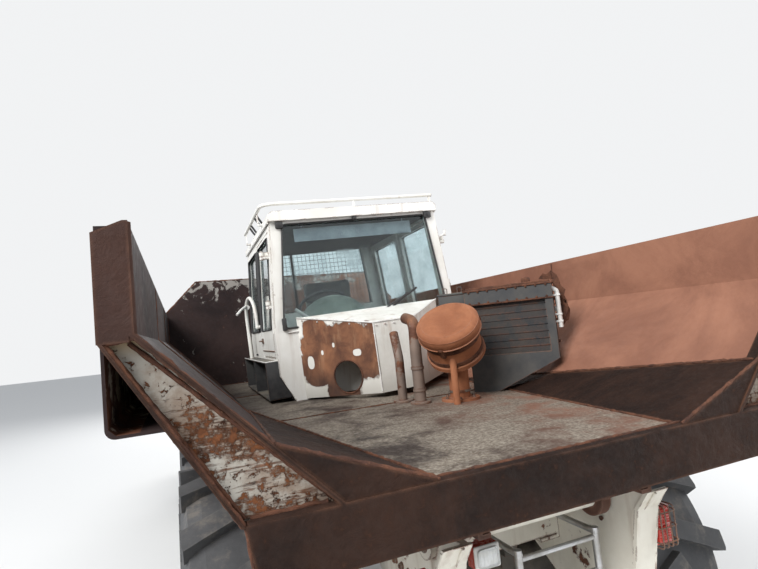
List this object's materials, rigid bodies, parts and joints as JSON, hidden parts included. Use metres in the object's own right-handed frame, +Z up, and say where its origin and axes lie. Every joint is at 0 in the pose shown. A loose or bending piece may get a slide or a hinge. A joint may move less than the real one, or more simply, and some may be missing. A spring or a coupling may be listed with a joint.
{
  "type": "articulated dump truck",
  "caption": "Six-wheel articulated dump truck with a rusty open body that carries its own dismounted cab; frame, body, hoists, wheels, cab doors and bonnet move.",
  "frame": {"origin": "on the ground under the middle of the truck's length and width", "axes": "+Y forward to the bonnet, +X to the truck's right, +Z up"},
  "size_m": [2.6, 9.2, 3.1499],
  "materials": {
    "rusted_plate": "matt rusted plate with worn paint",
    "cream_paint": "weathered cream paint",
    "dark_metal": "matt grimy dark paint",
    "rod_chrome": "dull chromed rod",
    "tyre_rubber": "dusty weathered rubber",
    "cab_pane": "dusty tinted glass",
    "seat_trim": "faded dark trim",
    "lamp_lens": "red lens",
    "lamp_clear": "clear lens",
    "bare_tube": "dull bare tube"
  },
  "bodies": {
    "rear_unit": {"rear_frame": "cream_paint", "tail_brackets": "cream_paint", "bogie_beams": "dark_metal", "rear_axles": "dark_metal", "drive_shafts": "dark_metal", "tail_lamps": "lamp_lens", "tail_ladder": "bare_tube"},
    "dump_body": {"dump_shell": "rusted_plate", "headboard": "rusted_plate", "tail_frame": "rusted_plate", "body_sills": "rusted_plate", "cab_shell": "cream_paint", "cab_roof": "cream_paint", "cab_nose": "cream_paint", "cab_steps": "dark_metal", "cab_glass": "cab_pane", "cab_seat": "seat_trim", "air_cleaner": "rusted_plate", "radiator": "dark_metal"},
    "left_door": {"cab_door_left": "cream_paint", "door_pane_left": "cab_pane"},
    "right_door": {"cab_door_right": "cream_paint", "door_pane_right": "cab_pane"},
    "front_unit": {"front_frame": "cream_paint", "front_axle": "dark_metal", "engine": "dark_metal", "fenders": "cream_paint", "cab_deck": "dark_metal", "side_tanks": "cream_paint", "exhaust": "dark_metal", "front_lamps": "lamp_clear"},
    "hitch": {"hitch": "cream_paint"},
    "bonnet": {"bonnet": "cream_paint", "grille": "dark_metal"},
    "wheel_rear_left": {"tyre_rear_left": "tyre_rubber", "rim_rear_left": "cream_paint"},
    "wheel_mid_left": {"tyre_mid_left": "tyre_rubber", "rim_mid_left": "cream_paint"},
    "wheel_front_left": {"tyre_front_left": "tyre_rubber", "rim_front_left": "cream_paint"},
    "hoist_barrel_left": {"hoist_barrel_left": "dark_metal"},
    "hoist_rod_left": {"hoist_rod_left": "rod_chrome"},
    "steer_barrel_left": {"steer_barrel_left": "dark_metal"},
    "steer_rod_left": {"steer_rod_left": "rod_chrome"},
    "wheel_rear_right": {"tyre_rear_right": "tyre_rubber", "rim_rear_right": "cream_paint"},
    "wheel_mid_right": {"tyre_mid_right": "tyre_rubber", "rim_mid_right": "cream_paint"},
    "wheel_front_right": {"tyre_front_right": "tyre_rubber", "rim_front_right": "cream_paint"},
    "hoist_barrel_right": {"hoist_barrel_right": "dark_metal"},
    "hoist_rod_right": {"hoist_rod_right": "rod_chrome"},
    "steer_barrel_right": {"steer_barrel_right": "dark_metal"},
    "steer_rod_right": {"steer_rod_right": "rod_chrome"}
  },
  "joints": [
    {"name": "body_tip", "type": "hinge", "parent": "rear_unit", "child": "dump_body", "pos_m": [0, -4.27, 1.44], "axis": [1, 0, 0], "range_deg": [0, 65]},
    {"name": "frame_swivel", "type": "hinge", "parent": "rear_unit", "child": "hitch", "pos_m": [0, 0, 0.93], "axis": [0, 1, 0], "range_deg": [-15, 15]},
    {"name": "steering", "type": "hinge", "parent": "hitch", "child": "front_unit", "pos_m": [0, 0.95, 0.93], "axis": [0, 0, 1], "range_deg": [-42, 42]},
    {"name": "bonnet_hinge", "type": "hinge", "parent": "front_unit", "child": "bonnet", "pos_m": [0, 4.47, 1.2], "axis": [-1, 0, 0], "range_deg": [0, 60]},
    {"name": "left_door_hinge", "type": "hinge", "parent": "dump_body", "child": "left_door", "pos_m": [-0.54718, -2.36974, 2.39993], "axis": [-0.0471, 0.0008, 0.9989], "range_deg": [0, 40]},
    {"name": "right_door_hinge", "type": "hinge", "parent": "dump_body", "child": "right_door", "pos_m": [0.84706, -2.39408, 2.46569], "axis": [0.0471, -0.0008, -0.9989], "range_deg": [0, 15]},
    {"name": "wheel_rear_left_spin", "type": "hinge", "parent": "rear_unit", "child": "wheel_rear_left", "pos_m": [-0.91, -3.37, 0.8], "axis": [1, 0, 0], "continuous": true},
    {"name": "wheel_mid_left_spin", "type": "hinge", "parent": "rear_unit", "child": "wheel_mid_left", "pos_m": [-0.91, -1.7, 0.8], "axis": [1, 0, 0], "continuous": true},
    {"name": "wheel_front_left_spin", "type": "hinge", "parent": "front_unit", "child": "wheel_front_left", "pos_m": [-0.91, 2.3, 0.8], "axis": [1, 0, 0], "continuous": true},
    {"name": "hoist_swing_left", "type": "hinge", "parent": "rear_unit", "child": "hoist_barrel_left", "pos_m": [-0.545, -1.2, 1.06], "axis": [1, 0, 0], "range_deg": [-15.23, 0.2]},
    {"name": "hoist_slide_left", "type": "slide", "parent": "hoist_barrel_left", "child": "hoist_rod_left", "axis": [0, -0.9531, 0.3027], "range_m": [-0.001, 1.3511]},
    {"name": "steer_swing_left", "type": "hinge", "parent": "hitch", "child": "steer_barrel_left", "pos_m": [-0.3, 0.53, 0.93], "axis": [0, 0, 1], "range_deg": [-21.2, 21.2]},
    {"name": "steer_slide_left", "type": "slide", "parent": "steer_barrel_left", "child": "steer_rod_left", "axis": [0, 1, 0], "range_m": [-0.219, 0.219]},
    {"name": "wheel_rear_right_spin", "type": "hinge", "parent": "rear_unit", "child": "wheel_rear_right", "pos_m": [0.91, -3.37, 0.8], "axis": [1, 0, 0], "continuous": true},
    {"name": "wheel_mid_right_spin", "type": "hinge", "parent": "rear_unit", "child": "wheel_mid_right", "pos_m": [0.91, -1.7, 0.8], "axis": [1, 0, 0], "continuous": true},
    {"name": "wheel_front_right_spin", "type": "hinge", "parent": "front_unit", "child": "wheel_front_right", "pos_m": [0.91, 2.3, 0.8], "axis": [1, 0, 0], "continuous": true},
    {"name": "hoist_swing_right", "type": "hinge", "parent": "rear_unit", "child": "hoist_barrel_right", "pos_m": [0.545, -1.2, 1.06], "axis": [1, 0, 0], "range_deg": [-15.23, 0.2]},
    {"name": "hoist_slide_right", "type": "slide", "parent": "hoist_barrel_right", "child": "hoist_rod_right", "axis": [0, -0.9531, 0.3027], "range_m": [-0.001, 1.3511]},
    {"name": "steer_swing_right", "type": "hinge", "parent": "hitch", "child": "steer_barrel_right", "pos_m": [0.3, 0.53, 0.93], "axis": [0, 0, 1], "range_deg": [-21.2, 21.2]},
    {"name": "steer_slide_right", "type": "slide", "parent": "steer_barrel_right", "child": "steer_rod_right", "axis": [0, 1, 0], "range_m": [-0.219, 0.219]}
  ],
  "couplings": [
    {"joint": "hoist_swing_left", "follows": "body_tip", "ratio": -0.23125},
    {"joint": "hoist_slide_left", "follows": "body_tip", "m_per_rad": 1.1875},
    {"joint": "steer_swing_left", "follows": "steering", "ratio": 0.5},
    {"joint": "steer_slide_left", "follows": "steering", "m_per_rad": -0.29333},
    {"joint": "hoist_swing_right", "follows": "body_tip", "ratio": -0.23125},
    {"joint": "hoist_slide_right", "follows": "body_tip", "m_per_rad": 1.1875},
    {"joint": "steer_swing_right", "follows": "steering", "ratio": 0.5},
    {"joint": "steer_slide_right", "follows": "steering", "m_per_rad": 0.29333}
  ]
}
